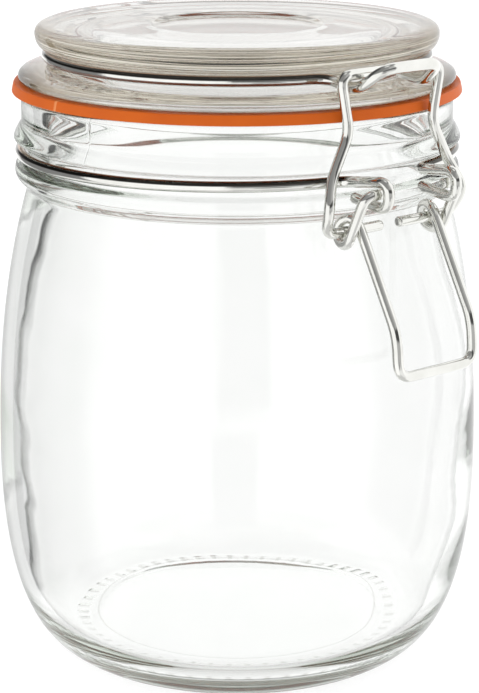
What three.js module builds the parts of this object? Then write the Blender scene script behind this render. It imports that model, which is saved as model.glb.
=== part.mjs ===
// A clip-top glass preserving jar, closed and empty: jar, lid, rubber gasket and four bent wires.
// Millimetres, +Z up. The jar stands on z = 0 with its axis on Z, the clip faces -Y and the lid's hinge +Y.
import * as THREE from "three";

// Fineness: steps round the turned pieces and along their bends, sides of a wire and steps along its bends
const ROUND_STEPS = 52;
const WALL_STEPS = 8;
const INNER_WALL_STEPS = 7;
const EDGE_STEPS = 3;
const WIRE_SIDES = 8;
const WIRE_BEND_STEPS = 4;
const RING_STEPS = 13;
const CURL_STEPS = 12;
const COIL_STEPS = 15;

// Glass jar, outside. A bend heads for its handles, which are points or distances from the bend's ends
const BASE_RADIUS = 36.7;
const BELLY_RADIUS = 53.5;
const BELLY_HEIGHT = 44;
const HEEL_HANDLE_OUT = 9.9;
const HEEL_HANDLE_DOWN = 29.3;
const SHOULDER_HANDLE_UP = 30.2;
const SHOULDER_HANDLE = [49.7, 91.4];
const NECK_RADIUS = 46;
const NECK_HEIGHT = 104.6;
const NECK_STRAIGHT = 0.5;
const NECK_HANDLE_UP = 1.6;
const COLLAR_RADIUS = 48.5;
const COLLAR_HEIGHT = 108.9;
const COLLAR_HANDLE_DOWN = 2.5;
const COLLAR_TOP_RADIUS = 48.2;
const COLLAR_TOP_HEIGHT = 110.2;
const GROOVE_RADIUS = 45.7;
const GROOVE_BOTTOM = 110.9;
const GROOVE_TOP = 114.9;
const BEAD_RADIUS = 48.6;
const BEAD_HEIGHT = 115.5;
const BEAD_HANDLE = [48.75, 116.3];
const LIP_RADIUS = 46.85;
const LIP_BOTTOM = 119.4;
const LIP_HANDLE = [47.7, 117.8];
const RIM_HEIGHT = 125.3;
const RIM_ROUND = 0.7;

// Glass jar, inside
const MOUTH_RADIUS = 41.5;
const MOUTH_BOTTOM = 104;
const MOUTH_HANDLE_DOWN = 8;
const HOLLOW_RADIUS = 49.4;
const HOLLOW_HEIGHT = 54;
const HOLLOW_HANDLE_UP = 24;
const HOLLOW_HANDLE_DOWN = 38;
const FLOOR_RADIUS = 32.5;
const FLOOR_HEIGHT = 5.3;
const FLOOR_HANDLE_OUT = 15;

// Rubber gasket, with a clear gap to the glass above and below
const FACE_GAP = 0.3;
const GASKET_BOTTOM = RIM_HEIGHT + FACE_GAP;
const GASKET_THICKNESS = 2.1;
const GASKET_TOP = GASKET_BOTTOM + GASKET_THICKNESS;
const GASKET_INNER_RADIUS = 41;
const GASKET_TOP_RADIUS = 48.3;
const GASKET_BOTTOM_RADIUS = 48.8;

// Glass lid: plug inside the mouth, flange on the gasket, groove for the wire, rolled rim and dished top
const PLUG_BOTTOM = 124.9;
const PLUG_RADIUS = 40.4;
const PLUG_ROUND = 0.6;
const PLUG_INNER_RADIUS = 36.6;
const PLUG_HANDLE = [35.6, 128.5];
const UNDERSIDE_HEIGHT = 130.6;
const UNDERSIDE_RADIUS = 31;
const UNDERSIDE_HANDLE_OUT = 3;
const FLANGE_BOTTOM = GASKET_TOP + FACE_GAP;
const FLANGE_RADIUS = 47.3;
const FLANGE_ROUND = 0.5;
const FLANGE_SIDE_TOP = 129.2;
const FLANGE_HANDLE_UP = 1;
const FLANGE_HANDLE = [45.4, 130.8];
const FLANGE_INNER_TOP = 131.5;
const LID_GROOVE_RADIUS = 39.3;
const LID_GROOVE_BOTTOM = 132;
const LID_GROOVE_TOP = 134.5;
const LID_RIM_RADIUS = 43.6;
const LID_RIM_HEIGHT = 138;
const LID_RIM_FOOT = [41.6, 134.8];
const LID_RIM_FOOT_HANDLE = [43.2, 135.2];
const LID_RIM_HANDLE_DOWN = 1.4;
const LID_RIM_HANDLE_UP = 1.4;
const LID_TOP = 140;
const LID_TOP_RADIUS = 40.6;
const LID_TOP_HANDLE_OUT = 1.8;
const DISH_OUTER_RADIUS = 37;
const DISH_RADIUS = 31;
const DISH_HEIGHT = 139.6;
const DISH_HANDLE = 2.5;
const RECESS_EDGE_RADIUS = 18.7;
const RECESS_RADIUS = 17.8;
const RECESS_HEIGHT = 138.8;

// Wire diameters
const BAND_WIRE = 2.3;
const CLIP_WIRE = 2.2;

// Neck band: a ring in the jar's groove that is a little higher at the clip than at the hinge
const NECK_RING_RADIUS = 47.2;
const NECK_RING_HEIGHT = 112.9;
const NECK_RING_TILT = 0.011;
const NECK_RING_SPAN = [20, 157];
const EYE_OUT = 58.7;
const EYE_TOP = 115.1;
const EYE_BOTTOM = 109.3;
const EYE_ACROSS = 9.2;
const EYE_TURN_ACROSS = 10.4;
const EYE_CUT_END = { out: 48.3, height: 110.4 };
const HINGE_ARM_ACROSS = 12.8;
const EYE_BEND = 2.7;
const HINGE_ARM_BEND = 2.6;

// Hinge bar behind the neck, which the lid wire's ends curl round
const HINGE_OUT = 53;
const HINGE_HEIGHT = 121;
const CURL_RADIUS = 2.6;
const CURL_ACROSS = 8;
const CURL_START = 180;
const CURL_TURN = 250;

// Lid wire: a ring in the lid's groove, dipped under the bail and raised to a nose at the front
const LID_RING_RADIUS = 41;
const LID_RING_HEIGHT = 133.2;
const LID_RING_SPAN = [22, 158];
const LID_RING_TURN_ACROSS = 9.2;
const VALLEY = { across: 8.9, out: 48.9, height: 131.95 };
const NOSE = { across: 7.4, out: 54.6, height: 136.6 };
const HINGE_LEG_TOP = 132.6;
const LID_WIRE_BEND = 3;

// Bail: the frame that pulls the lid down, from its bar on the lid wire to its two stubs
const BAIL_BAR = { across: 13.5, out: 48.8, height: 135.2 };
const BAIL_WAIST = { across: 11.2, out: 48.95, height: 123.8 };
const BAIL_FLARE = { across: 16, out: 49.3, height: 114.9 };
const BAIL_HIP = { across: 18.5, out: 51.6, height: 109.4 };
const STUB = { out: 49, height: 103.9 };
const STUB_CORNER_ACROSS = 17;
const STUB_END_ACROSS = 2.3;
const BAIL_BEND = 2.4;

// Lever: pins in the eyes of the neck band, coils round the bail's stubs, and a long finger loop
const PIVOT = { out: 55.8, height: 112.2 };
const PIN_END_ACROSS = 7.9;
const PIN_CORNER_ACROSS = 12.9;
const COIL_RADIUS = 2.65;
const LEG_ACROSS = 10.3;
const KNEE = { out: 62.9, height: 85 };
const CROSSBAR = { out: 63.7, height: 76.3 };
const PIN_BEND = 2;
const LEVER_BEND = 3.2;

// Largest share of a straight run that the bend at one of its ends may take
const BEND_SHARE = 0.47;

const vector = ({ across, out, height }) => new THREE.Vector3(across, -out, height);
const mirrored = (point) => new THREE.Vector3(-point.x, point.y, point.z);
const radians = THREE.MathUtils.degToRad;

// A lathe profile of radius and height, drawn with straight runs and with bends that have two handles.
class Profile {
  constructor(radius, height) {
    this.points = [new THREE.Vector2(radius, height)];
  }

  to(radius, height) {
    this.points.push(new THREE.Vector2(radius, height));
    return this;
  }

  bend(handleA, handleB, end, steps) {
    const ends = [handleA, handleB, end].map(([radius, height]) => new THREE.Vector2(radius, height));
    const curve = new THREE.CubicBezierCurve(this.points.at(-1), ...ends);
    this.points.push(...curve.getPoints(steps).slice(1));
    return this;
  }

  turned() {
    return new THREE.LatheGeometry(this.points, ROUND_STEPS).rotateX(Math.PI / 2);
  }
}

// A wire's centre line: the points that it passes through, each sampled once.
class WirePath extends THREE.Curve {
  constructor(points) {
    super();
    this.points = points;
  }

  indexAt(t) {
    return Math.round(t * (this.points.length - 1));
  }

  getPoint(t, target = new THREE.Vector3()) {
    return target.copy(this.points[this.indexAt(t)]);
  }

  getTangent(t, target = new THREE.Vector3()) {
    const index = this.indexAt(t);
    const here = this.points[index];
    const before = this.points[index - 1] ?? here;
    const after = this.points[index + 1] ?? here;
    const arriving = here.clone().sub(before).normalize();
    const leaving = after.clone().sub(here).normalize();
    return target.addVectors(arriving, leaving).normalize();
  }

  getUtoTmapping(u) {
    return u;
  }
}

// A round wire with flat cut ends along the given points.
function wire(points, diameter) {
  const circle = new THREE.EllipseCurve(0, 0, diameter / 2, diameter / 2);
  const section = new THREE.Shape(circle.getPoints(WIRE_SIDES));
  return new THREE.ExtrudeGeometry(section, {
    extrudePath: new WirePath(points),
    steps: points.length - 1,
    bevelEnabled: false,
  });
}

// The path through corner points, with each inner corner rounded over the given length of wire on both sides.
function rounded(corners, setback) {
  const path = [corners[0]];
  for (let i = 1; i < corners.length - 1; i += 1) {
    const corner = corners[i];
    const start = pulledBack(corner, corners[i - 1], setback);
    const end = pulledBack(corner, corners[i + 1], setback);
    path.push(...new THREE.QuadraticBezierCurve3(start, corner, end).getPoints(WIRE_BEND_STEPS));
  }
  path.push(corners.at(-1));
  return path;
}

function pulledBack(corner, neighbour, setback) {
  const run = neighbour.clone().sub(corner);
  const length = Math.min(setback, run.length() * BEND_SHARE);
  return corner.clone().add(run.setLength(length));
}

// Points round a ring from one angle to another, in degrees from the clip, on the +X side.
function ringPoints(radius, [fromAngle, toAngle], heightAt) {
  const points = [];
  for (let i = 0; i <= RING_STEPS; i += 1) {
    const angle = radians(fromAngle + ((toAngle - fromAngle) * i) / RING_STEPS);
    const y = -radius * Math.cos(angle);
    points.push(new THREE.Vector3(radius * Math.sin(angle), y, heightAt(y)));
  }
  return points;
}

// Points of a coil about an axis along X, seen with y to the right and z up, angles in degrees.
function coilPoints(centre, radius, [fromAngle, toAngle], [fromAcross, toAcross], steps) {
  const points = [];
  for (let i = 0; i <= steps; i += 1) {
    const part = i / steps;
    const angle = radians(fromAngle + (toAngle - fromAngle) * part);
    const across = fromAcross + (toAcross - fromAcross) * part;
    const y = centre.y + radius * Math.cos(angle);
    points.push(new THREE.Vector3(across, y, centre.z + radius * Math.sin(angle)));
  }
  return points;
}

// The +X half of a wire, from its middle outwards, joined to its mirror image.
function bothHalves(half) {
  return [...half.map(mirrored).reverse(), ...half];
}

// A turn point on a ring, where the wire leaves the groove at a given distance across.
function ringTurn(radius, across, height, side) {
  return new THREE.Vector3(across, side * Math.sqrt(radius * radius - across * across), height);
}

function jarGeometry() {
  return new Profile(0, 0)
    .to(BASE_RADIUS, 0)
    .bend(
      [BASE_RADIUS + HEEL_HANDLE_OUT, 0],
      [BELLY_RADIUS, BELLY_HEIGHT - HEEL_HANDLE_DOWN],
      [BELLY_RADIUS, BELLY_HEIGHT],
      WALL_STEPS,
    )
    .bend(
      [BELLY_RADIUS, BELLY_HEIGHT + SHOULDER_HANDLE_UP],
      SHOULDER_HANDLE,
      [NECK_RADIUS, NECK_HEIGHT],
      WALL_STEPS,
    )
    .to(NECK_RADIUS, NECK_HEIGHT + NECK_STRAIGHT)
    .bend(
      [NECK_RADIUS, NECK_HEIGHT + NECK_HANDLE_UP],
      [COLLAR_RADIUS, COLLAR_HEIGHT - COLLAR_HANDLE_DOWN],
      [COLLAR_RADIUS, COLLAR_HEIGHT],
      EDGE_STEPS,
    )
    .to(COLLAR_TOP_RADIUS, COLLAR_TOP_HEIGHT)
    .to(GROOVE_RADIUS, GROOVE_BOTTOM)
    .to(GROOVE_RADIUS, GROOVE_TOP)
    .to(BEAD_RADIUS, BEAD_HEIGHT)
    .bend(BEAD_HANDLE, LIP_HANDLE, [LIP_RADIUS, LIP_BOTTOM], EDGE_STEPS)
    .to(LIP_RADIUS, RIM_HEIGHT - RIM_ROUND)
    .to(LIP_RADIUS - RIM_ROUND, RIM_HEIGHT)
    .to(MOUTH_RADIUS + RIM_ROUND, RIM_HEIGHT)
    .to(MOUTH_RADIUS, RIM_HEIGHT - RIM_ROUND)
    .to(MOUTH_RADIUS, MOUTH_BOTTOM)
    .bend(
      [MOUTH_RADIUS, MOUTH_BOTTOM - MOUTH_HANDLE_DOWN],
      [HOLLOW_RADIUS, HOLLOW_HEIGHT + HOLLOW_HANDLE_UP],
      [HOLLOW_RADIUS, HOLLOW_HEIGHT],
      INNER_WALL_STEPS,
    )
    .bend(
      [HOLLOW_RADIUS, HOLLOW_HEIGHT - HOLLOW_HANDLE_DOWN],
      [FLOOR_RADIUS + FLOOR_HANDLE_OUT, FLOOR_HEIGHT],
      [FLOOR_RADIUS, FLOOR_HEIGHT],
      INNER_WALL_STEPS,
    )
    .to(0, FLOOR_HEIGHT)
    .turned();
}

function gasketGeometry() {
  return new Profile(GASKET_INNER_RADIUS, GASKET_BOTTOM)
    .to(GASKET_BOTTOM_RADIUS, GASKET_BOTTOM)
    .to(GASKET_TOP_RADIUS, GASKET_TOP)
    .to(GASKET_INNER_RADIUS, GASKET_TOP)
    .to(GASKET_INNER_RADIUS, GASKET_BOTTOM)
    .turned();
}

function lidGeometry() {
  return new Profile(0, UNDERSIDE_HEIGHT)
    .to(UNDERSIDE_RADIUS, UNDERSIDE_HEIGHT)
    .bend(
      [UNDERSIDE_RADIUS + UNDERSIDE_HANDLE_OUT, UNDERSIDE_HEIGHT],
      PLUG_HANDLE,
      [PLUG_INNER_RADIUS, PLUG_BOTTOM],
      EDGE_STEPS,
    )
    .to(PLUG_RADIUS - PLUG_ROUND, PLUG_BOTTOM)
    .to(PLUG_RADIUS, PLUG_BOTTOM + PLUG_ROUND)
    .to(PLUG_RADIUS, FLANGE_BOTTOM)
    .to(FLANGE_RADIUS - FLANGE_ROUND, FLANGE_BOTTOM)
    .to(FLANGE_RADIUS, FLANGE_BOTTOM + FLANGE_ROUND)
    .to(FLANGE_RADIUS, FLANGE_SIDE_TOP)
    .bend(
      [FLANGE_RADIUS, FLANGE_SIDE_TOP + FLANGE_HANDLE_UP],
      FLANGE_HANDLE,
      [LID_RING_RADIUS, FLANGE_INNER_TOP],
      EDGE_STEPS,
    )
    .to(LID_GROOVE_RADIUS, LID_GROOVE_BOTTOM)
    .to(LID_GROOVE_RADIUS, LID_GROOVE_TOP)
    .to(...LID_RIM_FOOT)
    .bend(
      LID_RIM_FOOT_HANDLE,
      [LID_RIM_RADIUS, LID_RIM_HEIGHT - LID_RIM_HANDLE_DOWN],
      [LID_RIM_RADIUS, LID_RIM_HEIGHT],
      EDGE_STEPS,
    )
    .bend(
      [LID_RIM_RADIUS, LID_RIM_HEIGHT + LID_RIM_HANDLE_UP],
      [LID_TOP_RADIUS + LID_TOP_HANDLE_OUT, LID_TOP],
      [LID_TOP_RADIUS, LID_TOP],
      EDGE_STEPS,
    )
    .to(DISH_OUTER_RADIUS, LID_TOP)
    .bend(
      [DISH_OUTER_RADIUS - DISH_HANDLE, LID_TOP],
      [DISH_RADIUS + DISH_HANDLE, DISH_HEIGHT],
      [DISH_RADIUS, DISH_HEIGHT],
      EDGE_STEPS,
    )
    .to(RECESS_EDGE_RADIUS, DISH_HEIGHT)
    .to(RECESS_RADIUS, RECESS_HEIGHT)
    .to(0, RECESS_HEIGHT)
    .turned();
}

function lidWireGeometry() {
  const ring = ringPoints(LID_RING_RADIUS, LID_RING_SPAN, () => LID_RING_HEIGHT);
  const front = [
    vector(NOSE),
    vector(VALLEY),
    ringTurn(LID_RING_RADIUS, LID_RING_TURN_ACROSS, LID_RING_HEIGHT, -1),
    ring[0],
  ];
  const legOut = HINGE_OUT - CURL_RADIUS;
  const back = [
    ring.at(-1),
    ringTurn(LID_RING_RADIUS, CURL_ACROSS, LID_RING_HEIGHT, 1),
    new THREE.Vector3(CURL_ACROSS, legOut, HINGE_LEG_TOP),
    new THREE.Vector3(CURL_ACROSS, legOut, HINGE_HEIGHT),
  ];
  const bar = new THREE.Vector3(0, HINGE_OUT, HINGE_HEIGHT);
  const curlAngles = [CURL_START, CURL_START + CURL_TURN];
  const curl = coilPoints(bar, CURL_RADIUS, curlAngles, [CURL_ACROSS, CURL_ACROSS], CURL_STEPS);
  const middle = new THREE.Vector3(0, -NOSE.out, NOSE.height);
  const half = [
    ...rounded([middle, ...front], LID_WIRE_BEND).slice(1, -1),
    ...ring.slice(0, -1),
    ...rounded(back, LID_WIRE_BEND).slice(0, -1),
    ...curl,
  ];
  return wire(bothHalves(half), BAND_WIRE);
}

function neckWireGeometry() {
  const heightAt = (y) => NECK_RING_HEIGHT - NECK_RING_TILT * y;
  const ring = ringPoints(NECK_RING_RADIUS, NECK_RING_SPAN, heightAt);
  const eye = [
    vector({ across: EYE_ACROSS, ...EYE_CUT_END }),
    vector({ across: EYE_ACROSS, out: EYE_OUT, height: EYE_BOTTOM }),
    vector({ across: EYE_ACROSS, out: EYE_OUT, height: EYE_TOP }),
    ringTurn(NECK_RING_RADIUS, EYE_TURN_ACROSS, heightAt(-NECK_RING_RADIUS), -1),
    ring[0],
  ];
  const arm = [
    ring.at(-1),
    ringTurn(NECK_RING_RADIUS, HINGE_ARM_ACROSS, heightAt(NECK_RING_RADIUS), 1),
    new THREE.Vector3(HINGE_ARM_ACROSS, HINGE_OUT, heightAt(HINGE_OUT)),
    new THREE.Vector3(HINGE_ARM_ACROSS, HINGE_OUT, HINGE_HEIGHT),
    new THREE.Vector3(0, HINGE_OUT, HINGE_HEIGHT),
  ];
  const half = [
    ...rounded(eye, EYE_BEND).slice(0, -1),
    ...ring.slice(0, -1),
    ...rounded(arm, HINGE_ARM_BEND).slice(0, -1),
  ].reverse();
  return wire(bothHalves(half), BAND_WIRE);
}

function bailGeometry() {
  const corners = [BAIL_BAR, BAIL_WAIST, BAIL_FLARE, BAIL_HIP].map(vector);
  const stub = [STUB_CORNER_ACROSS, STUB_END_ACROSS].map((across) => vector({ across, ...STUB }));
  const middle = new THREE.Vector3(0, -BAIL_BAR.out, BAIL_BAR.height);
  const half = rounded([middle, ...corners, ...stub], BAIL_BEND).slice(1);
  return wire(bothHalves(half), CLIP_WIRE);
}

// The angle at which a line from a point touches a coil on the given side, seen with y to the right and z up.
function touchAngle(point, centre, radius, side) {
  const toPoint = Math.atan2(point.z - centre.z, point.y - centre.y);
  const distance = Math.hypot(point.y - centre.y, point.z - centre.z);
  return THREE.MathUtils.radToDeg(toPoint + side * Math.acos(radius / distance));
}

function leverGeometry() {
  const coilCentre = vector({ across: 0, ...STUB });
  const pin = [PIN_END_ACROSS, PIN_CORNER_ACROSS].map((across) => vector({ across, ...PIVOT }));
  const knee = vector({ across: LEG_ACROSS, ...KNEE });
  const barEnd = vector({ across: LEG_ACROSS, ...CROSSBAR });
  const enters = touchAngle(pin[1], coilCentre, COIL_RADIUS, 1);
  const leaves = touchAngle(knee, coilCentre, COIL_RADIUS, -1);
  const turn = THREE.MathUtils.euclideanModulo(leaves - enters, 360);
  const coilAcross = [PIN_CORNER_ACROSS, LEG_ACROSS];
  const coil = coilPoints(coilCentre, COIL_RADIUS, [enters, enters + turn], coilAcross, COIL_STEPS);
  const middle = vector({ across: 0, ...CROSSBAR });
  const half = [
    ...rounded([...pin, coil[0]], PIN_BEND).slice(0, -1),
    ...coil.slice(0, -1),
    ...rounded([coil.at(-1), knee, barEnd, middle], LEVER_BEND).slice(0, -1),
  ].reverse();
  return wire(bothHalves(half), CLIP_WIRE);
}

const clearGlass = { color: 0xe9ebe6, roughness: 0.04, metalness: 0, transparent: true, opacity: 0.35 };
const orangeRubber = { color: 0xd65c24, roughness: 0.5, metalness: 0 };
const brightWire = { color: 0xc9c8c4, roughness: 0.15, metalness: 1 };

const pieces = [
  ["jar", jarGeometry(), clearGlass],
  ["gasket", gasketGeometry(), orangeRubber],
  ["lid", lidGeometry(), clearGlass],
  ["lid_wire", lidWireGeometry(), brightWire],
  ["neck_wire", neckWireGeometry(), brightWire],
  ["bail", bailGeometry(), brightWire],
  ["lever", leverGeometry(), brightWire],
];

const canningJar = new THREE.Group();
for (const [name, geometry, look] of pieces) {
  const mesh = new THREE.Mesh(geometry, new THREE.MeshStandardMaterial(look));
  mesh.name = name;
  canningJar.add(mesh);
}

export default canningJar;
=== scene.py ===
# A clip-top glass preserving jar, dressed for a studio picture: glass, orange rubber and bright bent wire.
# Sizes are in millimetres in the part's frame, +Z up with the clip facing -Y, except where a comment says so.
import math

import bpy
import numpy as np
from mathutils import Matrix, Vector


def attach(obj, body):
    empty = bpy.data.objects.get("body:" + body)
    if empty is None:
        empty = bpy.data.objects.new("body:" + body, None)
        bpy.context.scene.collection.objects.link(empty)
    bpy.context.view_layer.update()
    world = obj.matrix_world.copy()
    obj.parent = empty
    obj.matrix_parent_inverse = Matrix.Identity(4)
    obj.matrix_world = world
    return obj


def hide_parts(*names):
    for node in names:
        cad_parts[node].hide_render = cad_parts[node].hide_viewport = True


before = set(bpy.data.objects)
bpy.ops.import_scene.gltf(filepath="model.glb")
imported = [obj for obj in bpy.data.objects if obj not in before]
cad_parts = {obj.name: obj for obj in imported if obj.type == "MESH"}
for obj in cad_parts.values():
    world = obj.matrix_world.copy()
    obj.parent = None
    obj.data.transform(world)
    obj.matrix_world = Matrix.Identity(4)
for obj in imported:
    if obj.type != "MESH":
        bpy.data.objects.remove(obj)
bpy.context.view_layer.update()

MM = 0.001
HALF_TURN = 180
FULL_TURN = 360

# Glass jar, outside. A bend heads for its handles, which are points or distances from the bend's ends
BASE_RADIUS = 36.7
BELLY_RADIUS = 53.5
BELLY_HEIGHT = 44
HEEL_HANDLE_OUT = 9.9
HEEL_HANDLE_DOWN = 29.3
SHOULDER_HANDLE_UP = 30.2
SHOULDER_HANDLE = (49.7, 91.4)
NECK_RADIUS = 46
NECK_HEIGHT = 104.6
NECK_STRAIGHT = 0.5
NECK_HANDLE_UP = 1.6
COLLAR_RADIUS = 48.5
COLLAR_HEIGHT = 108.9
COLLAR_HANDLE_DOWN = 2.5
COLLAR_TOP = (48.2, 110.2)
GROOVE_RADIUS = 45.7
GROOVE_BOTTOM = 110.9
GROOVE_TOP = 114.9
BEAD = (48.6, 115.5)
BEAD_HANDLE = (48.75, 116.3)
LIP_RADIUS = 46.85
LIP_BOTTOM = 119.4
LIP_HANDLE = (47.7, 117.8)
RIM_HEIGHT = 125.3
RIM_ROUND = 0.7

# Glass jar, inside
MOUTH_RADIUS = 41.5
MOUTH_BOTTOM = 104
MOUTH_HANDLE_DOWN = 8
HOLLOW_RADIUS = 49.4
HOLLOW_HEIGHT = 54
HOLLOW_HANDLE_UP = 24
HOLLOW_HANDLE_DOWN = 38
FLOOR_RADIUS = 32.5
FLOOR_HEIGHT = 5.3
FLOOR_HANDLE_OUT = 15

# Rubber gasket
GASKET_BOTTOM = 125.6
GASKET_TOP = 127.7
GASKET_INNER_RADIUS = 41
GASKET_TOP_RADIUS = 48.3
GASKET_BOTTOM_RADIUS = 48.8

# Glass lid
PLUG_BOTTOM = 124.9
PLUG_RADIUS = 40.4
PLUG_ROUND = 0.6
PLUG_INNER_RADIUS = 36.6
PLUG_HANDLE = (35.6, 128.5)
UNDERSIDE_HEIGHT = 130.6
UNDERSIDE_RADIUS = 31
UNDERSIDE_HANDLE_OUT = 3
FLANGE_BOTTOM = 128
FLANGE_RADIUS = 47.3
FLANGE_ROUND = 0.5
FLANGE_SIDE_TOP = 129.2
FLANGE_HANDLE_UP = 1
FLANGE_HANDLE = (45.4, 130.8)
FLANGE_INNER_TOP = 131.5
LID_GROOVE_RADIUS = 39.3
LID_GROOVE_BOTTOM = 132
LID_GROOVE_TOP = 134.5
LID_RIM_RADIUS = 43.6
LID_RIM_HEIGHT = 138
LID_RIM_FOOT = (41.6, 134.8)
LID_RIM_FOOT_HANDLE = (43.2, 135.2)
LID_RIM_HANDLE_DOWN = 1.4
LID_RIM_HANDLE_UP = 1.4
LID_TOP = 140
LID_TOP_RADIUS = 40.6
LID_TOP_HANDLE_OUT = 1.8
DISH_OUTER_RADIUS = 37
DISH_RADIUS = 31
DISH_HEIGHT = 139.6
DISH_HANDLE = 2.5
RECESS_EDGE_RADIUS = 18.7
RECESS_RADIUS = 17.8
RECESS_HEIGHT = 138.8

# Wire diameters, and the chamfer of a cut end: distances from it, each with the share of the wire's radius
BAND_WIRE = 2.3
CLIP_WIRE = 2.2
WIRE_CHAMFER = ((0.0, 0.72), (0.1, 0.9), (0.28, 1.0))

# Neck band. A span is in degrees from the clip. A bend is the length taken from each side of a corner
NECK_RING_RADIUS = 47.2
NECK_RING_HEIGHT = 112.9
NECK_RING_TILT = 0.011
NECK_RING_SPAN = (20, 157)
EYE_OUT = 58.7
EYE_TOP = 115.1
EYE_BOTTOM = 109.3
EYE_ACROSS = 9.2
EYE_TURN_ACROSS = 10.4
EYE_CUT_END_OUT = 48.3
EYE_CUT_END_HEIGHT = 110.4
EYE_BEND = 2.7
HINGE_ARM_ACROSS = 12.8
HINGE_ARM_BEND = 2.6

# Hinge bar behind the neck and the lid wire's curls round it
HINGE_OUT = 53
HINGE_HEIGHT = 121
CURL_RADIUS = 2.6
CURL_ACROSS = 8
CURL_TURN = 250

# Lid wire
LID_RING_RADIUS = 41
LID_RING_HEIGHT = 133.2
LID_RING_SPAN = (22, 158)
LID_RING_TURN_ACROSS = 9.2
LID_WIRE_BEND = 3
VALLEY = (8.9, -48.9, 131.95)
NOSE = (7.4, -54.6, 136.6)
HINGE_LEG_TOP = 132.6

# Bail
BAIL_BAR = (13.5, -48.8, 135.2)
BAIL_WAIST = (11.2, -48.95, 123.8)
BAIL_FLARE = (16, -49.3, 114.9)
BAIL_HIP = (18.5, -51.6, 109.4)
STUB_OUT = 49
STUB_HEIGHT = 103.9
STUB_CORNER_ACROSS = 17
STUB_END_ACROSS = 2.3
BAIL_BEND = 2.4

# Lever
PIVOT_OUT = 55.8
PIVOT_HEIGHT = 112.2
PIN_END_ACROSS = 7.9
PIN_CORNER_ACROSS = 12.9
COIL_RADIUS = 2.65
PIN_BEND = 2
LEG_ACROSS = 10.3
KNEE = (10.3, -62.9, 85)
CROSSBAR = (10.3, -63.67, 76.3)
LEVER_BEND = 3.2

# Mesh fineness: spacing of traced outlines, rounding of corners, steps between kept points, points per turn
TRACE_SPACING = 0.1
GLASS_SOFTNESS = 0.35
RUBBER_SOFTNESS = 0.22
WIRE_SOFTNESS = 0.7
SOFTENING_REACHES = 3
TURN_PER_POINT = math.radians(5)
LONGEST_STEP = 2.4
WALL_STEP = 0.7
FINE_STEP = 0.3
WALL_FINE_ABOVE = 36
LIP_FINE_ABOVE = 115
TICKS_FINE_BELOW = 3
FINE_MARGIN = 1
RING_FINE_MARGIN = 2
ANGLES_PER_TICK = 5
LID_ANGLES = 288
GASKET_ANGLES = 256
MARK_OFFSETS = (-0.6, -0.35, -0.2, -0.1, 0, 0.1, 0.2, 0.35, 0.6)
BEND_STEPS = 24
LARGEST_BEND_SHARE = 0.47
RING_POINTS = 181
COIL_POINTS = 61
WIRE_STEP = 0.5
WIRE_SIDES = 20
FIRST_SIDE_HINT = (0.3, 0.2, 0.9)

# Moulding marks: angles are in degrees from the clip towards +X
STIPPLE_COUNT = 56
STIPPLE_DEPTH = 0.26
STIPPLE_RING = (35.4, 38.0)
STIPPLE_EDGE = 0.7
STIPPLE_UNEVEN = 0.25
UNDERSIDE_LIFT = 0.25
UNDERSIDE_EDGE = (31.6, 35.0)
UNDERSIDE_BELOW = 4
FLOOR_RING_RADIUS = FLOOR_RADIUS
FLOOR_RING_WIDTH = 0.5
FLOOR_RING_DEPTH = 0.03
FLOOR_RING_BELOW = 8
# Painted shade: a darker colour on the glass along the floor's ring and in the ticks
FLOOR_LINE_WIDTH = 0.35
FLOOR_LINE_PAINTED_SHADE = (0.66, 0.66, 0.64, 1)
TICK_TOP = 2
TICK_SHARE = (0.35, 1.0)
TICK_PAINTED_SHADE = (0.62, 0.62, 0.59, 1)
JAR_SEAM_ANGLE = -78.5
JAR_SEAM_HEIGHT = 0.04
JAR_SEAM_RISE = (104, 116)
LID_SEAM_ANGLE = 1.5
LID_SEAM_HEIGHT = 0.09
SEAM_WIDTH = 0.13
GASKET_MARK_ANGLE = -88.8
GASKET_MARK_DEPTH = 0.2
GASKET_EDGE = (47, 48)
GASKET_EASE = 0.1

# Unevenness. A zone is a low end, a high end and a soft edge. A wave is its height, waves round the piece,
# rise from one to the next, and phase, and LEVEL is a rise so long that it hardly winds. A streak is its
# height, spacing, drift and phase. It drifts in quick waves round the piece and in one slow wave.
LEVEL = 1000
WALL_ZONE = (34, 92, 18)
WALL_WAVES = (
    (0.16, 2, 67, 0.4),
    (0.10, -3, 51, 2.1),
    (0.02, 5, 13, 1.2),
    (0.003, 17, 7.3, 0.3),
    (0.002, -29, 3.7, 1.4),
)
WALL_THINNING = 0.7
WALL_THINNING_SWING = 0.6
WALL_THINNEST_ANGLE = 51
STIPPLE_WAVE = (STIPPLE_UNEVEN, 5, LEVEL, 0.8)
GASKET_WAVES = ((0.05, 3, LEVEL, 0.7), (0.04, 7, LEVEL, 1.9))
QUICK_DRIFT_WAVES = 3
SLOW_DRIFT = 2
LIP_STREAKS = ((0.0005, 1.7, 0.2, 0.4), (0.0008, 3.1, 0.2, 1.9))
LIP_STREAKS_START = (114, 118)
LIP_STREAKS_END = (124, 125)
LID_RIM_STREAKS = ((0.010, 1.3, 1.2, 0.9), (0.014, 2.3, 0.8, 2.6))
LID_RIM_EDGE = (42.2, 43)
LID_RIM_ZONE = (135.2, 138.6, 0.5)
FLANGE_STREAKS = ((0.012, 1.5, 1.0, 1.7),)
FLANGE_ZONE_OUT = (40, 48, 1)
FLANGE_ZONE_UP = (128.8, 132, 0.5)

# Materials. A noise is its features per metre and its detail. Colours and roughness run from its low to its
# high places.
NOISE_RANGE = (0.3, 0.7)
GRAIN_HEIGHT = 0.1
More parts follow.
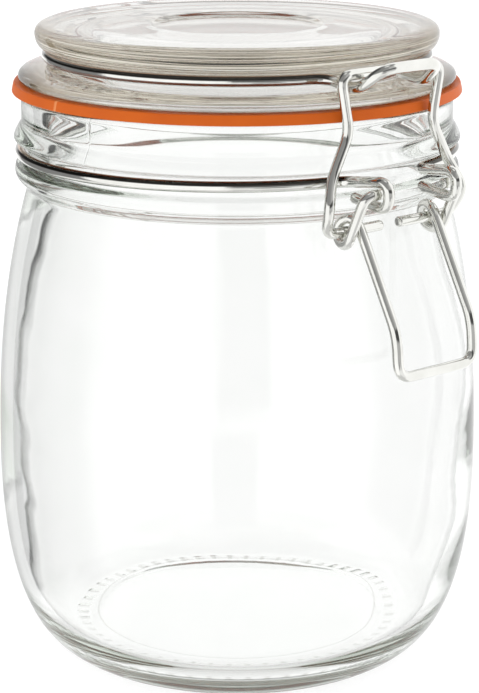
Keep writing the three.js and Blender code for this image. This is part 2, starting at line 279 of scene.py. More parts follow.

# Glass: tint of each surface, stain and its strength per metre, and painted shade where a surface turns away
GLASS_IOR = 1.5
GLASS_NOISE = (70, 2)
GLASS_LOW_TINT = (0.985, 0.99, 0.985)
EDGE_SHADE_FACING = (0.76, 0.9)
JAR_TINT = 1.0
JAR_STAIN = (0.80, 0.83, 0.79, 1)
JAR_STAIN_DENSITY = 24
JAR_PAINTED_EDGE_SHADE = (0.22, 0.23, 0.22, 1)
LID_TINT = 0.88
LID_STAIN = (0.82, 0.78, 0.68, 1)
LID_STAIN_DENSITY = 16
LID_PAINTED_EDGE_SHADE = (0.62, 0.61, 0.58, 1)

# Rubber, with a pale mark across the gasket
RUBBER_NOISE = (120, 3)
RUBBER_COLOURS = ((0.61, 0.108, 0.006), (0.66, 0.126, 0.009))
RUBBER_ROUGHNESS = (0.42, 0.58)
RUBBER_GRAIN = (2500, 4)
RUBBER_GRAIN_STRENGTH = 0.15
RUBBER_SHINE = 0.2
GASKET_MARK_WIDTH = 0.3
GASKET_MARK_COLOUR = (0.85, 0.34, 0.13, 1)

# Steel wire. In a groove it gets painted shade, with a painted warm reflection at its top, until it leaves
# the ring by these distances
STEEL_NOISE = (180, 3)
STEEL_COLOURS = ((0.70, 0.70, 0.665), (0.80, 0.80, 0.77))
STEEL_ROUGHNESS = (0.05, 0.13)
STEEL_GRAIN = (900, 3)
STEEL_GRAIN_STRENGTH = 0.12
GROOVE_LEAVING = (1.6, 3.4)
GROOVE_PAINTED_SHADE_RISE = (0.22, 0.42)
GROOVE_PAINTED_SHADE = (0.06, 0.057, 0.05, 1)
GROOVE_REFLECTION_RISE = (0.82, 0.95)
GROOVE_PAINTED_REFLECTION = (0.36, 0.22, 0.13, 1)

# Studio light: panels by their turn from the camera towards the right, half width, lowest rise, highest rise
# and soft edge in degrees, and brightness. Later panels cover earlier ones. Wire mirrors the first list.
# Glass mirrors the second with the third over it. Light that comes straight through glass shows the second at
# part of its contrast.
WIRE_PANELS = (
    (0, 200, -95, -48, 3, 0.6),
    (0, 200, 5, 78, 3, 0.24),
    (115, 47, -60, 60, 3, 1.0),
    (180, 24, -60, 60, 3, 0.95),
    (-44, 40, -60, 18, 3, 1.0),
    (-122, 38, 5, 60, 3, 0.06),
    (-115.5, 31.5, -35, 5, 3, 0.2),
    (47, 20, 24, 64, 3, 0.45),
    (31, 35, -14, 8, 3, 0.45),
    (31, 35, 7, 24, 3, 0.06),
    (9, 19, 22, 70, 3, 0.3),
    (18, 9, -24, -10, 3, 0.2),
)
GLASS_PANELS = (
    (0, 200, -95, -38, 6, 0.78),
    (0, 75, 30, 78, 5, 0.22),
    (180, 45, 30, 78, 5, 0.35),
    (2, 13, -8, 60, 2, 0.15),
)
EDGE_PANELS = (
    (180, 5, -30, -8, 2, 0.42),
    (-100, 24, -32, 10, 8, 0.2),
    (-150, 18, -30, 40, 4, 0.68),
    (-130.5, 5, -28, 10, 1.5, 0.02),
)
WIRE_LEVEL = 0.82
GLASS_LEVEL = 0.9
STRAIGHT_LEVEL = 0.80
STRAIGHT_CONTRAST = 0.5
LIGHT_STRENGTH = 1.25

# Soft lamps by their turn from the camera towards the right and their rise in degrees, distance and size in
# metres, and watts. They light the rubber and the floor and aren't mirrored. The floor's sizes are in metres.
LAMPS = (
    ("right_lamp", 95, 30, 0.7, 0.45, 0.8),
    ("left_lamp", -70, 25, 0.7, 0.45, 0.8),
)
LAMP_TARGET = (0, 0, 0.09)
FLOOR_REACH = 0.3
FLOOR_GAP = 0.0001
FLOOR_GLOW = 0.85
FLOOR_COLOUR = (0.3, 0.3, 0.3, 1)
FLOOR_ROUGHNESS = 0.9
FLOOR_SIDES = 96
LIGHT_BOUNCES = 48

# Photo camera
CAMERA_TURN = math.radians(39)
CAMERA_PITCH = math.radians(16.08)
CAMERA_DISTANCE = 464
CAMERA_HEIGHT = 200.7
FOCAL_PIXELS = 2150
PHOTO_HEIGHT = 693
AXIS_OFFSET_PIXELS = 2.4
SENSOR = 36
NEAREST_SEEN = 0.01


class Profile:
    """A lathe profile of radius and height, drawn with straight runs and with bends that have two handles."""

    def __init__(self, radius, height):
        self.points = [(radius, height)]

    def to(self, radius, height):
        self.points.append((radius, height))
        return self

    def bend(self, handle_a, handle_b, end):
        start = np.array(self.points[-1], float)
        handle_a, handle_b, end = (np.array(p, float) for p in (handle_a, handle_b, end))
        for step in range(1, BEND_STEPS + 1):
            t = step / BEND_STEPS
            s = 1 - t
            point = s**3 * start + 3 * s * s * t * handle_a + 3 * s * t * t * handle_b + t**3 * end
            self.points.append(tuple(point))
        return self


def evenly(points, spacing):
    """Points at even steps along a polyline."""
    points = np.array(points, float)
    lengths = np.linalg.norm(np.diff(points, axis=0), axis=1)
    along = np.concatenate([[0], np.cumsum(lengths)])
    steps = max(int(round(along[-1] / spacing)), 2)
    places = np.linspace(0, along[-1], steps + 1)
    return np.stack([np.interp(places, along, points[:, k]) for k in range(points.shape[1])], axis=1)


def softened(points, spacing, reach, before, after):
    """A running average along evenly spaced points, which rounds every corner over about the given reach."""
    half = int(math.ceil(SOFTENING_REACHES * reach / spacing))
    weights = np.exp(-0.5 * (np.arange(-half, half + 1) * spacing / reach) ** 2)
    weights /= weights.sum()
    padded = np.concatenate([before(points, half), points, after(points, half)])
    columns = [np.convolve(padded[:, k], weights, mode="valid") for k in range(points.shape[1])]
    return np.stack(columns, axis=1)


def mirrored_start(points, count):
    """The points before a profile's start on the axis: its mirror image."""
    return points[count:0:-1] * np.array([-1, 1])


def mirrored_end(points, count):
    return points[-2:-count - 2:-1] * np.array([-1, 1])


def straight_start(points, count):
    """The points before a free end: the end carried straight on."""
    step = points[0] - points[1]
    return points[0] + step * np.arange(count, 0, -1)[:, None]


def straight_end(points, count):
    step = points[-1] - points[-2]
    return points[-1] + step * np.arange(1, count + 1)[:, None]


def looped_start(points, count):
    return points[-count - 1:-1]


def looped_end(points, count):
    return points[1:count + 1]


def thinned(points, longest):
    """Keeps the points that a smooth outline needs: closer together where it turns."""
    kept = [0]
    turned = 0.0
    gone = 0.0
    steps = np.diff(points, axis=0)
    lengths = np.linalg.norm(steps, axis=1)
    for i in range(1, len(points) - 1):
        cosine = np.dot(steps[i - 1], steps[i]) / (lengths[i - 1] * lengths[i])
        turned += math.acos(min(1.0, max(-1.0, cosine)))
        gone += lengths[i - 1]
        if turned > TURN_PER_POINT or gone > longest(points[i]):
            kept.append(i)
            turned = 0.0
            gone = 0.0
    kept.append(len(points) - 1)
    return points[kept]


def new_object(name, vertices, faces):
    mesh = bpy.data.meshes.new(name)
    mesh.from_pydata((np.asarray(vertices) * MM).tolist(), [], faces)
    mesh.shade_smooth()
    piece = bpy.data.objects.new(name, mesh)
    bpy.context.scene.collection.objects.link(piece)
    return piece


def ring_angles(count, fine_angles):
    """Even angles round the axis in radians, with extra ones close to each narrow mark."""
    angles = list(np.arange(count) * 2 * math.pi / count)
    for mark in fine_angles:
        for offset in MARK_OFFSETS:
            angles.append(math.radians(mark + offset) % (2 * math.pi))
    return np.array(sorted(set(angles)))


def turned(name, profile, angles, relief):
    """A lathe piece. relief changes each point's radius and height by where the point is."""
    radius = np.repeat(profile[:, :1], len(angles), axis=1)
    height = np.repeat(profile[:, 1:], len(angles), axis=1)
    around = np.repeat(angles[None, :], len(profile), axis=0)
    place = np.repeat(np.linspace(0, 1, len(profile))[:, None], len(angles), axis=1)
    radius, height = relief(around, radius, height, place)
    x = radius * np.sin(around)
    y = -radius * np.cos(around)
    rows = np.stack([x, y, height], axis=2)
    count = len(angles)
    on_axis = profile[0, 0] < TRACE_SPACING
    if on_axis:
        first = rows[0].mean(axis=0, keepdims=True)
        last = rows[-1].mean(axis=0, keepdims=True)
        vertices = np.concatenate([first, rows[1:-1].reshape(-1, 3), last])
        ring_total = len(profile) - 2
        faces = [(0, 1 + (j + 1) % count, 1 + j) for j in range(count)]
        end = len(vertices) - 1
        tail = 1 + (ring_total - 1) * count
        faces += [(end, tail + j, tail + (j + 1) % count) for j in range(count)]
        start = 1
        loops = ring_total - 1
    else:
        vertices = rows[:-1].reshape(-1, 3)
        ring_total = len(profile) - 1
        faces = []
        start = 0
        loops = ring_total
    for i in range(loops):
        here = start + i * count
        there = start + ((i + 1) % ring_total) * count
        for j in range(count):
            k = (j + 1) % count
            faces.append((here + j, here + k, there + k, there + j))
    return new_object(name, vertices, faces)


def smooth_step(value, low, high):
    t = np.clip((value - low) / (high - low), 0, 1)
    return t * t * (3 - 2 * t)


def window(value, low, high, edge):
    """One between low and high, falling softly to nothing over the given edge on both sides."""
    return smooth_step(value, low - edge, low) * (1 - smooth_step(value, high, high + edge))


def angle_gap(around, degrees):
    """The signed angle from a mark, in radians."""
    return (around - math.radians(degrees) + math.pi) % (2 * math.pi) - math.pi


def seam(around, radius, degrees):
    """A narrow raised line up a turned piece."""
    across = angle_gap(around, degrees) * np.maximum(radius, 1)
    return np.exp(-0.5 * (across / SEAM_WIDTH) ** 2)


def waves(around, height, values):
    """The sum of waves that wind round a piece as they rise."""
    total = 0
    for size, turns, rise, phase in values:
        total = total + size * np.sin(turns * around + 2 * math.pi * height / rise + phase)
    return total


def streaks(around, along, values):
    """The sum of fine lines round a piece that drift a little up and down on their way."""
    total = 0
    for size, period, drift, phase in values:
        quick = drift * np.sin(QUICK_DRIFT_WAVES * around + phase)
        wander = quick + SLOW_DRIFT * drift * np.sin(around - phase)
        total = total + size * np.sin(2 * math.pi * along / period + wander)
    return total


def jar_profile():
    outline = (
        Profile(0, 0)
        .to(BASE_RADIUS, 0)
        .bend(
            (BASE_RADIUS + HEEL_HANDLE_OUT, 0),
            (BELLY_RADIUS, BELLY_HEIGHT - HEEL_HANDLE_DOWN),
            (BELLY_RADIUS, BELLY_HEIGHT),
        )
        .bend((BELLY_RADIUS, BELLY_HEIGHT + SHOULDER_HANDLE_UP), SHOULDER_HANDLE, (NECK_RADIUS, NECK_HEIGHT))
        .to(NECK_RADIUS, NECK_HEIGHT + NECK_STRAIGHT)
        .bend(
            (NECK_RADIUS, NECK_HEIGHT + NECK_HANDLE_UP),
            (COLLAR_RADIUS, COLLAR_HEIGHT - COLLAR_HANDLE_DOWN),
            (COLLAR_RADIUS, COLLAR_HEIGHT),
        )
        .to(*COLLAR_TOP)
        .to(GROOVE_RADIUS, GROOVE_BOTTOM)
        .to(GROOVE_RADIUS, GROOVE_TOP)
        .to(*BEAD)
        .bend(BEAD_HANDLE, LIP_HANDLE, (LIP_RADIUS, LIP_BOTTOM))
        .to(LIP_RADIUS, RIM_HEIGHT - RIM_ROUND)
        .to(LIP_RADIUS - RIM_ROUND, RIM_HEIGHT)
        .to(MOUTH_RADIUS + RIM_ROUND, RIM_HEIGHT)
        .to(MOUTH_RADIUS, RIM_HEIGHT - RIM_ROUND)
        .to(MOUTH_RADIUS, MOUTH_BOTTOM)
        .bend(
            (MOUTH_RADIUS, MOUTH_BOTTOM - MOUTH_HANDLE_DOWN),
            (HOLLOW_RADIUS, HOLLOW_HEIGHT + HOLLOW_HANDLE_UP),
            (HOLLOW_RADIUS, HOLLOW_HEIGHT),
        )
        .bend(
            (HOLLOW_RADIUS, HOLLOW_HEIGHT - HOLLOW_HANDLE_DOWN),
            (FLOOR_RADIUS + FLOOR_HANDLE_OUT, FLOOR_HEIGHT),
            (FLOOR_RADIUS, FLOOR_HEIGHT),
        )
        .to(0, FLOOR_HEIGHT)
    )
    fine = evenly(outline.points, TRACE_SPACING)
    return softened(fine, TRACE_SPACING, GLASS_SOFTNESS, mirrored_start, mirrored_end)


def make_jar():
    profile = jar_profile()
    seam_angles = (JAR_SEAM_ANGLE, JAR_SEAM_ANGLE + HALF_TURN)

    def longest(point):
        radius, height = point
        near_ticks = STIPPLE_RING[0] - FINE_MARGIN < radius < STIPPLE_RING[1] + FINE_MARGIN
        in_ticks = near_ticks and height < TICKS_FINE_BELOW
        in_ring = abs(radius - FLOOR_RING_RADIUS) < RING_FINE_MARGIN and height < FLOOR_RING_BELOW
        if in_ticks or in_ring or height > LIP_FINE_ABOVE:
            return FINE_STEP
        in_wall = radius < HOLLOW_RADIUS + FINE_MARGIN and height > WALL_FINE_ABOVE
        return WALL_STEP if in_wall else LONGEST_STEP

    kept = thinned(profile, longest)
    rim_kept = int(np.argmax(kept[:, 1])) / (len(kept) - 1)

    def relief(around, radius, height, place):
        inside = place > rim_kept
        under = ~inside & (height < UNDERSIDE_BELOW)
        thinning = WALL_THINNING + WALL_THINNING_SWING * np.cos(angle_gap(around, WALL_THINNEST_ANGLE))
        uneven = waves(around, height, WALL_WAVES) + thinning
        radius = radius + np.where(inside, window(height, *WALL_ZONE) * uneven, 0)
        lip = smooth_step(height, *LIP_STREAKS_START) * (1 - smooth_step(height, *LIP_STREAKS_END))
        radius = radius + np.where(inside, 0, lip * streaks(around, height, LIP_STREAKS))
        seam_height = JAR_SEAM_HEIGHT * smooth_step(height, *JAR_SEAM_RISE)
        for angle in seam_angles:
            radius = radius + np.where(inside, 0, seam_height * seam(around, radius, angle))
        lift = UNDERSIDE_LIFT * (1 - smooth_step(radius, *UNDERSIDE_EDGE))
        ticks = 0.5 - 0.5 * np.cos(STIPPLE_COUNT * around)
        fullness = 1 - STIPPLE_UNEVEN + waves(around, height, (STIPPLE_WAVE,))
        lift = lift + STIPPLE_DEPTH * fullness * ticks * window(radius, *STIPPLE_RING, STIPPLE_EDGE)
        height = height + np.where(under, lift, 0)
        ring = FLOOR_RING_DEPTH * np.exp(-(((radius - FLOOR_RING_RADIUS) / FLOOR_RING_WIDTH) ** 2))
        height = height - np.where(inside & (height < FLOOR_RING_BELOW), ring, 0)
        return radius, height

    angles = ring_angles(STIPPLE_COUNT * ANGLES_PER_TICK, seam_angles)
    return turned("jar_glass", kept, angles, relief)


def make_lid():
    outline = (
        Profile(0, UNDERSIDE_HEIGHT)
        .to(UNDERSIDE_RADIUS, UNDERSIDE_HEIGHT)
        .bend(
            (UNDERSIDE_RADIUS + UNDERSIDE_HANDLE_OUT, UNDERSIDE_HEIGHT),
            PLUG_HANDLE,
            (PLUG_INNER_RADIUS, PLUG_BOTTOM),
        )
        .to(PLUG_RADIUS - PLUG_ROUND, PLUG_BOTTOM)
        .to(PLUG_RADIUS, PLUG_BOTTOM + PLUG_ROUND)
        .to(PLUG_RADIUS, FLANGE_BOTTOM)
        .to(FLANGE_RADIUS - FLANGE_ROUND, FLANGE_BOTTOM)
        .to(FLANGE_RADIUS, FLANGE_BOTTOM + FLANGE_ROUND)
        .to(FLANGE_RADIUS, FLANGE_SIDE_TOP)
        .bend(
            (FLANGE_RADIUS, FLANGE_SIDE_TOP + FLANGE_HANDLE_UP),
            FLANGE_HANDLE,
            (LID_RING_RADIUS, FLANGE_INNER_TOP),
        )
        .to(LID_GROOVE_RADIUS, LID_GROOVE_BOTTOM)
        .to(LID_GROOVE_RADIUS, LID_GROOVE_TOP)
        .to(*LID_RIM_FOOT)
        .bend(
            LID_RIM_FOOT_HANDLE,
            (LID_RIM_RADIUS, LID_RIM_HEIGHT - LID_RIM_HANDLE_DOWN),
            (LID_RIM_RADIUS, LID_RIM_HEIGHT),
        )
        .bend(
            (LID_RIM_RADIUS, LID_RIM_HEIGHT + LID_RIM_HANDLE_UP),
            (LID_TOP_RADIUS + LID_TOP_HANDLE_OUT, LID_TOP),
            (LID_TOP_RADIUS, LID_TOP),
        )
        .to(DISH_OUTER_RADIUS, LID_TOP)
        .bend(
            (DISH_OUTER_RADIUS - DISH_HANDLE, LID_TOP),
            (DISH_RADIUS + DISH_HANDLE, DISH_HEIGHT),
            (DISH_RADIUS, DISH_HEIGHT),
        )
        .to(RECESS_EDGE_RADIUS, DISH_HEIGHT)
        .to(RECESS_RADIUS, RECESS_HEIGHT)
        .to(0, RECESS_HEIGHT)
    )
    fine = evenly(outline.points, TRACE_SPACING)
    soft = softened(fine, TRACE_SPACING, GLASS_SOFTNESS, mirrored_start, mirrored_end)
    kept = thinned(soft, lambda point: FINE_STEP if point[0] > LID_RING_RADIUS else LONGEST_STEP)
    seam_angles = (LID_SEAM_ANGLE, LID_SEAM_ANGLE + HALF_TURN)

    def relief(around, radius, height, place):
        flange = window(radius, *FLANGE_ZONE_OUT) * window(height, *FLANGE_ZONE_UP)
        rim = smooth_step(radius, *LID_RIM_EDGE) * window(height, *LID_RIM_ZONE)
        radius = radius + rim * streaks(around, height, LID_RIM_STREAKS)
        height = height + flange * streaks(around, radius, FLANGE_STREAKS)
        for angle in seam_angles:
            radius = radius + LID_SEAM_HEIGHT * flange * seam(around, radius, angle)
        return radius, height

    return turned("lid_glass", kept, ring_angles(LID_ANGLES, seam_angles), relief)


def make_gasket():
    outline = (
        Profile(GASKET_INNER_RADIUS, GASKET_BOTTOM)
        .to(GASKET_BOTTOM_RADIUS, GASKET_BOTTOM)
        .to(GASKET_TOP_RADIUS, GASKET_TOP)
        .to(GASKET_INNER_RADIUS, GASKET_TOP)
        .to(GASKET_INNER_RADIUS, GASKET_BOTTOM)
    )
    fine = evenly(outline.points, TRACE_SPACING)
    soft = softened(fine, TRACE_SPACING, RUBBER_SOFTNESS, looped_start, looped_end)
    kept = thinned(soft, lambda point: LONGEST_STEP)
    kept[-1] = kept[0]

    def relief(around, radius, height, place):
        outer = smooth_step(radius, *GASKET_EDGE)
        mark = GASKET_MARK_DEPTH * seam(around, radius, GASKET_MARK_ANGLE)
        slack = waves(around, height, GASKET_WAVES) - GASKET_EASE
        return radius + outer * (slack - mark), height

    return turned("gasket_ring", kept, ring_angles(GASKET_ANGLES, (GASKET_MARK_ANGLE,)), relief)


def mirror_x(points):
    return [(-x, y, z) for x, y, z in points]


def pulled_back(corner, neighbour, setback):
    corner = np.array(corner, float)
    run = np.array(neighbour, float) - corner
    length = np.linalg.norm(run)
    return corner + run / length * min(setback, length * LARGEST_BEND_SHARE)


def rounded(corners, setback):
    """The path through corner points, with each inner corner rounded over the setback on both sides."""
    path = [corners[0]]
    for before, corner, after in zip(corners, corners[1:], corners[2:]):
        start = pulled_back(corner, before, setback)
        end = pulled_back(corner, after, setback)
        for step in range(BEND_STEPS + 1):
            t = step / BEND_STEPS
            point = (1 - t) ** 2 * start + 2 * t * (1 - t) * np.array(corner, float) + t * t * end
            path.append(tuple(point))
    path.append(corners[-1])
    return path


def ring_points(radius, from_angle, to_angle, height_at):
    """Points round a ring from one angle to another, in degrees from the clip, on the +X side."""
    points = []
    for angle in np.radians(np.linspace(from_angle, to_angle, RING_POINTS)):
        y = -radius * math.cos(angle)
        points.append((radius * math.sin(angle), y, height_at(y)))
    return points


def ring_turn(radius, across, height, side):
    return (across, side * math.sqrt(radius**2 - across**2), height)


def coil_points(centre, radius, from_angle, to_angle, from_across, to_across):
    """Points of a coil about an axis along X, seen with y to the right and z up, angles in degrees."""
    points = []
    for part in np.linspace(0, 1, COIL_POINTS):
        angle = math.radians(from_angle + (to_angle - from_angle) * part)
        across = from_across + (to_across - from_across) * part
        points.append((across, centre[0] + radius * math.cos(angle), centre[1] + radius * math.sin(angle)))
    return points


def both_halves(half):
    """The +X half of a wire, from its middle outwards, joined to its mirror image."""
    return mirror_x(half)[::-1] + list(half)


def with_chamfers(rows):
    """A wire's rows with the first and the last repeated for the rings of the chamfered ends."""
    count = len(WIRE_CHAMFER)
    first = np.repeat(rows[:1], count, axis=0)
    last = np.repeat(rows[-1:], count, axis=0)
    return np.concatenate([first, rows[1:-1], last])


def wire_piece(name, points, diameter):
    """A round wire with chamfered cut ends along a smooth path."""
    fine = evenly(points, TRACE_SPACING)
    soft = softened(fine, TRACE_SPACING, WIRE_SOFTNESS, straight_start, straight_end)
    path = evenly(soft, WIRE_STEP)
    tangents = np.gradient(path, axis=0)
    tangents /= np.linalg.norm(tangents, axis=1)[:, None]
    side = np.cross(tangents[0], FIRST_SIDE_HINT)
    side /= np.linalg.norm(side)
    sides = []
    for tangent in tangents:
        side = side - tangent * np.dot(side, tangent)
        side /= np.linalg.norm(side)
        sides.append(side)
    sides = np.array(sides)
    start_rings = [path[0] + gap * tangents[0] for gap, share in WIRE_CHAMFER]
    end_rings = [path[-1] - gap * tangents[-1] for gap, share in WIRE_CHAMFER]
    centres = np.concatenate([start_rings, path[1:-1], end_rings[::-1]])
    end_shares = [share for gap, share in WIRE_CHAMFER]
    shares = np.concatenate([end_shares, np.ones(len(path) - 2), end_shares[::-1]])
    across = with_chamfers(sides)
    above = with_chamfers(np.cross(tangents, sides))
    turn = (np.arange(WIRE_SIDES) * 2 * math.pi / WIRE_SIDES)[None, :, None]
    reach = (shares * diameter / 2)[:, None, None]
    spokes = across[:, None, :] * np.cos(turn) + above[:, None, :] * np.sin(turn)
    rings = centres[:, None, :] + reach * spokes
    vertices = np.concatenate([rings.reshape(-1, 3), centres[:1], centres[-1:]])
    total = len(centres)
    faces = []
    for i in range(total - 1):
        here = i * WIRE_SIDES
        there = here + WIRE_SIDES
        for j in range(WIRE_SIDES):
            k = (j + 1) % WIRE_SIDES
            faces.append((here + j, here + k, there + k, there + j))
    start_cap = total * WIRE_SIDES
    last_ring = (total - 1) * WIRE_SIDES
    for j in range(WIRE_SIDES):
        k = (j + 1) % WIRE_SIDES
        faces.append((start_cap, k, j))
        faces.append((start_cap + 1, last_ring + j, last_ring + k))
    return new_object(name, vertices, faces)


def make_lid_wire():
    ring = ring_points(LID_RING_RADIUS, *LID_RING_SPAN, lambda y: LID_RING_HEIGHT)
    front = [
        (0, NOSE[1], NOSE[2]),
        NOSE,
        VALLEY,
        ring_turn(LID_RING_RADIUS, LID_RING_TURN_ACROSS, LID_RING_HEIGHT, -1),
        ring[0],
    ]
    leg_out = HINGE_OUT - CURL_RADIUS
    back = [
        ring[-1],
        ring_turn(LID_RING_RADIUS, CURL_ACROSS, LID_RING_HEIGHT, 1),
        (CURL_ACROSS, leg_out, HINGE_LEG_TOP),
        (CURL_ACROSS, leg_out, HINGE_HEIGHT),
    ]
    centre = (HINGE_OUT, HINGE_HEIGHT)
    curl_end = HALF_TURN + CURL_TURN
    curl = coil_points(centre, CURL_RADIUS, HALF_TURN, curl_end, CURL_ACROSS, CURL_ACROSS)
    half = rounded(front, LID_WIRE_BEND)[1:-1] + ring[:-1] + rounded(back, LID_WIRE_BEND)[:-1] + curl
    return wire_piece("lid_wire_steel", both_halves(half), BAND_WIRE)


def make_neck_wire():
    def height_at(y):
        return NECK_RING_HEIGHT - NECK_RING_TILT * y

    ring = ring_points(NECK_RING_RADIUS, *NECK_RING_SPAN, height_at)
    eye = [
        (EYE_ACROSS, -EYE_CUT_END_OUT, EYE_CUT_END_HEIGHT),
        (EYE_ACROSS, -EYE_OUT, EYE_BOTTOM),
        (EYE_ACROSS, -EYE_OUT, EYE_TOP),
        ring_turn(NECK_RING_RADIUS, EYE_TURN_ACROSS, height_at(-NECK_RING_RADIUS), -1),
        ring[0],
    ]
    arm = [
        ring[-1],
        ring_turn(NECK_RING_RADIUS, HINGE_ARM_ACROSS, height_at(NECK_RING_RADIUS), 1),
        (HINGE_ARM_ACROSS, HINGE_OUT, height_at(HINGE_OUT)),
        (HINGE_ARM_ACROSS, HINGE_OUT, HINGE_HEIGHT),
        (0, HINGE_OUT, HINGE_HEIGHT),
    ]
    half = rounded(eye, EYE_BEND)[:-1] + ring[:-1] + rounded(arm, HINGE_ARM_BEND)[:-1]
    return wire_piece("neck_wire_steel", both_halves(half[::-1]), BAND_WIRE)


def make_bail():
    stub = [(across, -STUB_OUT, STUB_HEIGHT) for across in (STUB_CORNER_ACROSS, STUB_END_ACROSS)]
    middle = (0, BAIL_BAR[1], BAIL_BAR[2])
    half = rounded([middle, BAIL_BAR, BAIL_WAIST, BAIL_FLARE, BAIL_HIP] + stub, BAIL_BEND)[1:]
    return wire_piece("bail_steel", both_halves(half), CLIP_WIRE)


def touch_angle(point, centre, radius, side):
    """The angle at which a line from a point touches a coil, seen with y to the right and z up."""
    to_point = math.atan2(point[2] - centre[1], point[1] - centre[0])
    distance = math.hypot(point[1] - centre[0], point[2] - centre[1])
    return math.degrees(to_point + side * math.acos(radius / distance))


def make_lever():
    centre = (-STUB_OUT, STUB_HEIGHT)
    pin = [(across, -PIVOT_OUT, PIVOT_HEIGHT) for across in (PIN_END_ACROSS, PIN_CORNER_ACROSS)]
    enters = touch_angle(pin[1], centre, COIL_RADIUS, 1)
    leaves = touch_angle(KNEE, centre, COIL_RADIUS, -1)
    turn = (leaves - enters) % FULL_TURN
    coil = coil_points(centre, COIL_RADIUS, enters, enters + turn, PIN_CORNER_ACROSS, LEG_ACROSS)
    middle = (0, CROSSBAR[1], CROSSBAR[2])
    loop = rounded([coil[-1], KNEE, CROSSBAR, middle], LEVER_BEND)
    half = rounded(pin + coil[:1], PIN_BEND)[:-1] + coil[:-1] + loop[:-1]
    return wire_piece("lever_steel", both_halves(half[::-1]), CLIP_WIRE)


def new_material(name):
    material = bpy.data.materials.new(name)
    material.use_nodes = True
    tree = material.node_tree
    shader = tree.nodes["Principled BSDF"]
    return material, tree, shader


def add_math(tree, operation, first, second):
    node = tree.nodes.new("ShaderNodeMath")
    node.operation = operation
    for socket, value in zip(node.inputs, (first, second)):
        if isinstance(value, (int, float)):
            socket.default_value = value
        else:
            tree.links.new(value, socket)
    return node.outputs["Value"]


def add_dot(tree, vector, direction):
    node = tree.nodes.new("ShaderNodeVectorMath")
    node.operation = "DOT_PRODUCT"
    node.inputs[1].default_value = direction
    tree.links.new(vector, node.inputs[0])
    return node.outputs["Value"]


def add_step(tree, value, low, high):
    node = tree.nodes.new("ShaderNodeMapRange")
    node.interpolation_type = "SMOOTHSTEP"
    node.inputs["From Min"].default_value = low
    node.inputs["From Max"].default_value = high
    tree.links.new(value, node.inputs["Value"])
    return node.outputs["Result"]


def add_band(tree, value, low, high, edge):
    """One while the value is between low and high, with soft edges."""
    rises = add_step(tree, value, low - edge, low + edge)
    falls = add_step(tree, value, high + edge, high - edge)
    return add_math(tree, "MULTIPLY", rises, falls)


def add_blend(tree, share, first, second):
    """The first level where the share is nothing and the second where it is one."""
    rest = add_math(tree, "SUBTRACT", 1.0, share)
    first_part = add_math(tree, "MULTIPLY", rest, first)
    second_part = add_math(tree, "MULTIPLY", share, second)
    return add_math(tree, "ADD", first_part, second_part)


def add_noise(tree, scale, detail):
    """Noise in the piece's own coordinates, in features per metre."""
    place = tree.nodes.new("ShaderNodeTexCoord")
    noise = tree.nodes.new("ShaderNodeTexNoise")
    noise.inputs["Scale"].default_value = scale
    noise.inputs["Detail"].default_value = detail
    tree.links.new(place.outputs["Object"], noise.inputs["Vector"])
    return noise


def add_range(tree, source, low, high):
    """A value that runs from low to high with a noise."""
    mapped = tree.nodes.new("ShaderNodeMapRange")
    mapped.inputs["From Min"].default_value = NOISE_RANGE[0]
    mapped.inputs["From Max"].default_value = NOISE_RANGE[1]
    mapped.inputs["To Min"].default_value = low
    mapped.inputs["To Max"].default_value = high
    tree.links.new(source, mapped.inputs["Value"])
    return mapped.outputs["Result"]


def add_bump(tree, shader, source, strength):
    """Roughens the shader's surface with a fine grain."""
    bump = tree.nodes.new("ShaderNodeBump")
    bump.inputs["Strength"].default_value = strength
    bump.inputs["Distance"].default_value = GRAIN_HEIGHT * MM
    tree.links.new(source, bump.inputs["Height"])
    tree.links.new(bump.outputs["Normal"], shader.inputs["Normal"])


def add_tint(tree, shader, source, low, high):
    """Gives the shader a base colour that runs from one to the other with a noise."""
    ramp = tree.nodes.new("ShaderNodeValToRGB")
    for element, position, colour in zip(ramp.color_ramp.elements, NOISE_RANGE, (low, high)):
        element.position = position
        element.color = (*colour, 1)
    tree.links.new(source, ramp.inputs["Fac"])
    tree.links.new(ramp.outputs["Color"], shader.inputs["Base Color"])


def add_over(tree, shader, share, colour):
    """Lays a colour over the shader's base colour by the given share."""
    mixed = tree.nodes.new("ShaderNodeMix")
    mixed.data_type = "RGBA"
    below, above = [socket for socket in mixed.inputs if socket.type == "RGBA"]
    result = [socket for socket in mixed.outputs if socket.type == "RGBA"][0]
    tree.links.new(share, mixed.inputs["Factor"])
    tree.links.new(shader.inputs["Base Color"].links[0].from_socket, below)
    above.default_value = colour
    tree.links.new(result, shader.inputs["Base Color"])


def glass(name, tint, stain, density, edge_shade_colour):
    """Clear glass with a slight tint, a stain that grows with its thickness, and painted shade along its
    outlines.
    """
    material, tree, shader = new_material(name)
    shader.inputs["Transmission Weight"].default_value = 1
    shader.inputs["IOR"].default_value = GLASS_IOR
    shader.inputs["Roughness"].default_value = 0
    noise = add_noise(tree, *GLASS_NOISE)
    low_tint = [channel * tint for channel in GLASS_LOW_TINT]
    add_tint(tree, shader, noise.outputs["Fac"], low_tint, (tint, tint, tint))
    # Painted shade: the base colour darkens where the surface turns away from view
    facing = tree.nodes.new("ShaderNodeLayerWeight")
    outline = add_step(tree, facing.outputs["Facing"], *EDGE_SHADE_FACING)
    add_over(tree, shader, outline, edge_shade_colour)
    absorption = tree.nodes.new("ShaderNodeVolumeAbsorption")
    absorption.inputs["Color"].default_value = stain
    absorption.inputs["Density"].default_value = density
    tree.links.new(absorption.outputs["Volume"], tree.nodes["Material Output"].inputs["Volume"])
    return material


